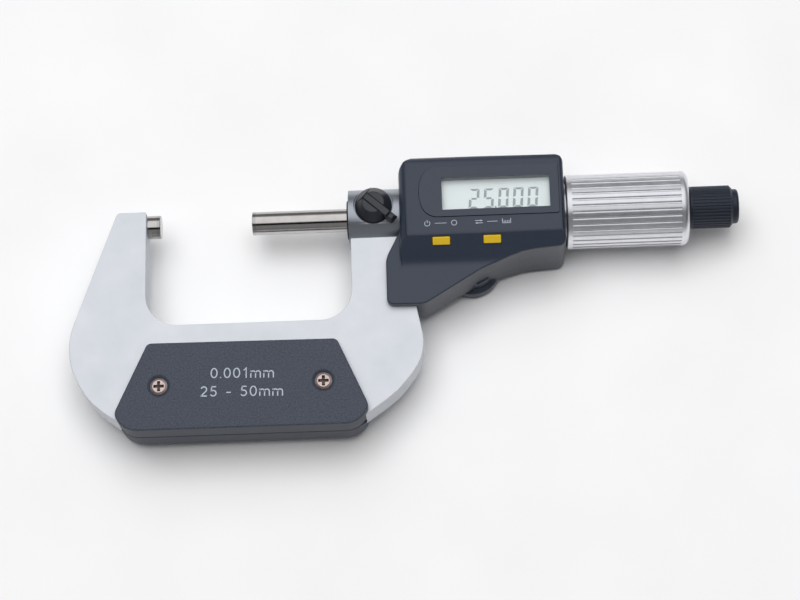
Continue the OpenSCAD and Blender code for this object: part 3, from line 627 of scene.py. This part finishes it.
def arc(cx, cy, r0, r1, start, end, steps=28):
    """Outline of a band from r0 to r1 between two angles in degrees."""
    return bow(cx, cy, r1, r1, start, end, steps) + bow(cx, cy, r0, r0, start, end, steps)[::-1]


def arrow(x0, x1, y, head=0.5, line=0.16):
    """An arrow along X from x0 to x1, either way."""
    side = 1 if x1 > x0 else -1
    neck = x1 - side * 1.1 * head
    return [(x0, y - line / 2), (neck, y - line / 2), (neck, y - head / 2), (x1, y),
            (neck, y + head / 2), (neck, y + line / 2), (x0, y + line / 2)][::side]


ICON_Y = -5.8


def button_icons():
    """Plain symbols above the buttons: on and zero on the left, and change of units on the right."""
    y = ICON_Y
    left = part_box("set_button")
    x = (left[0].x + left[1].x) / 2 / MM
    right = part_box("unit_button")
    u = (right[0].x + right[1].x) / 2 / MM
    outlines = [
        arc(x - 3.6, y, 0.62, 0.78, 125, 415), bar(x - 3.68, y + 0.15, x - 3.52, y + 1.0),
        bar(x - 1.6, y - 0.07, x + 1.6, y + 0.07),
        arc(x + 3.6, y, 0.62, 0.78, 0, 178), arc(x + 3.6, y, 0.62, 0.78, 182, 358),
        arrow(u - 4.4, u - 2.4, y + 0.34), arrow(u - 2.4, u - 4.4, y - 0.34),
        bar(u - 1.2, y - 0.07, u + 1.6, y + 0.07), bar(u + 2.8, y - 0.66, u + 5.16, y - 0.52)]
    for k in range(6):
        tick = 1.3 if k % 5 == 0 else 0.75
        outlines.append(bar(u + 2.8 + 0.44 * k, y - 0.6, u + 2.96 + 0.44 * k, y - 0.6 + tick))
    prisms("button_icons", outlines, FACE_Z + INK[0], FACE_Z + INK[1], LETTERING, "frame_body")


# ------------------------------------------------------------------ studio

def floor():
    """A wide pale sheet under the object's lowest point at rest."""
    bpy.ops.mesh.primitive_plane_add(size=6, location=(MIDDLE.x, MIDDLE.y, CAD_BOX[0].z))
    plane = bpy.context.object
    plane.name = "floor"
    plane.data.materials.append(floor_finish())


def sky():
    """A studio round the object that changes with the angle about the X axis: a broad soft box above,
    a dark slit beside it, grey walls and a paler horizon."""
    world = bpy.data.worlds.new("studio")
    bpy.context.scene.world = world
    world.use_nodes = True
    tree = world.node_tree
    coords = tree.nodes.new("ShaderNodeTexCoord")
    split = tree.nodes.new("ShaderNodeSeparateXYZ")
    tree.links.new(coords.outputs["Generated"], split.inputs[0])
    turn = tree.nodes.new("ShaderNodeMath")
    turn.operation = "ARCTAN2"
    tree.links.new(split.outputs["Y"], turn.inputs[0])
    tree.links.new(split.outputs["Z"], turn.inputs[1])
    span = tree.nodes.new("ShaderNodeMapRange")
    span.inputs["From Min"].default_value = -math.pi
    span.inputs["From Max"].default_value = math.pi
    tree.links.new(turn.outputs[0], span.inputs["Value"])
    ramp = tree.nodes.new("ShaderNodeValToRGB")
    tree.links.new(span.outputs["Result"], ramp.inputs["Fac"])
    # Angle in degrees about the X axis, and brightness
    stops = [(-180, 0.3), (-95, 0.25), (-90, 0.05), (-85, 0.22), (-41, 0.24), (-37, 0.01), (-20, 0.01),
             (-14, 1.0), (47, 1.05), (56, 0.2), (90, 0.16), (180, 0.3)]
    points = ramp.color_ramp.elements
    while len(points) < len(stops):
        points.new(0.5)
    for element, (angle, level) in zip(points, stops):
        element.position = (angle + 180) / 360
        element.color = (level, level, level * 1.02, 1)
    background = tree.nodes["Background"]
    tree.links.new(ramp.outputs["Color"], background.inputs["Color"])
    reach = tree.nodes.new("ShaderNodeMath")
    reach.operation = "ABSOLUTE"
    tree.links.new(split.outputs["X"], reach.inputs[0])
    fade = tree.nodes.new("ShaderNodeMapRange")
    for key, value in {"From Min": 0.3, "From Max": 0.75, "To Min": 1.12, "To Max": 0.25}.items():
        fade.inputs[key].default_value = value
    tree.links.new(reach.outputs[0], fade.inputs["Value"])
    tree.links.new(fade.outputs["Result"], background.inputs["Strength"])
    bpy.context.scene.view_settings.view_transform = "Standard"


def soft_light(name, location, size, power, in_reflections=True):
    """A square lamp that points at the middle of the object."""
    data = bpy.data.lights.new(name, "AREA")
    data.size = size
    data.energy = power
    obj = bpy.data.objects.new(name, data)
    bpy.context.scene.collection.objects.link(obj)
    obj.location = location
    aim = MIDDLE - Vector(location)
    obj.rotation_mode = "QUATERNION"
    obj.rotation_quaternion = aim.to_track_quat("-Z", "Y")
    obj.visible_glossy = in_reflections


CAMERA_AT = (78.35, -223.34, 628.99)
CAMERA_RIGHT = (0.99913, -0.02808, -0.03076)
CAMERA_UP = (0.03607, 0.95258, 0.30214)


def camera():
    """Looks down at the object from in front of it, rolled so that the spindle rises to the right."""
    data = bpy.data.cameras.new("camera")
    data.lens = 110
    data.sensor_width = 36
    data.clip_start = 0.01
    obj = bpy.data.objects.new("camera", data)
    bpy.context.scene.collection.objects.link(obj)
    right = Vector(CAMERA_RIGHT)
    up = Vector(CAMERA_UP)
    back = right.cross(up)
    turn = Matrix((right, up, back)).transposed().to_4x4()
    obj.matrix_world = Matrix.Translation(Vector(CAMERA_AT) * MM) @ turn
    bpy.context.scene.camera = obj


for node_name in NODES:
    dress(node_name)
ratchet_coil()
lcd_digits()
lettering("grip_resolution", "0.001mm", 14.0, -45.55, 16.8, 2.8)
lettering("grip_range", "25 - 50mm", 11.25, -50.5, 21.9, 2.8)
button_icons()
floor()
sky()
soft_light("overhead", (0.0, 0.15, 1.1), 0.9, 8.5, in_reflections=False)
camera()
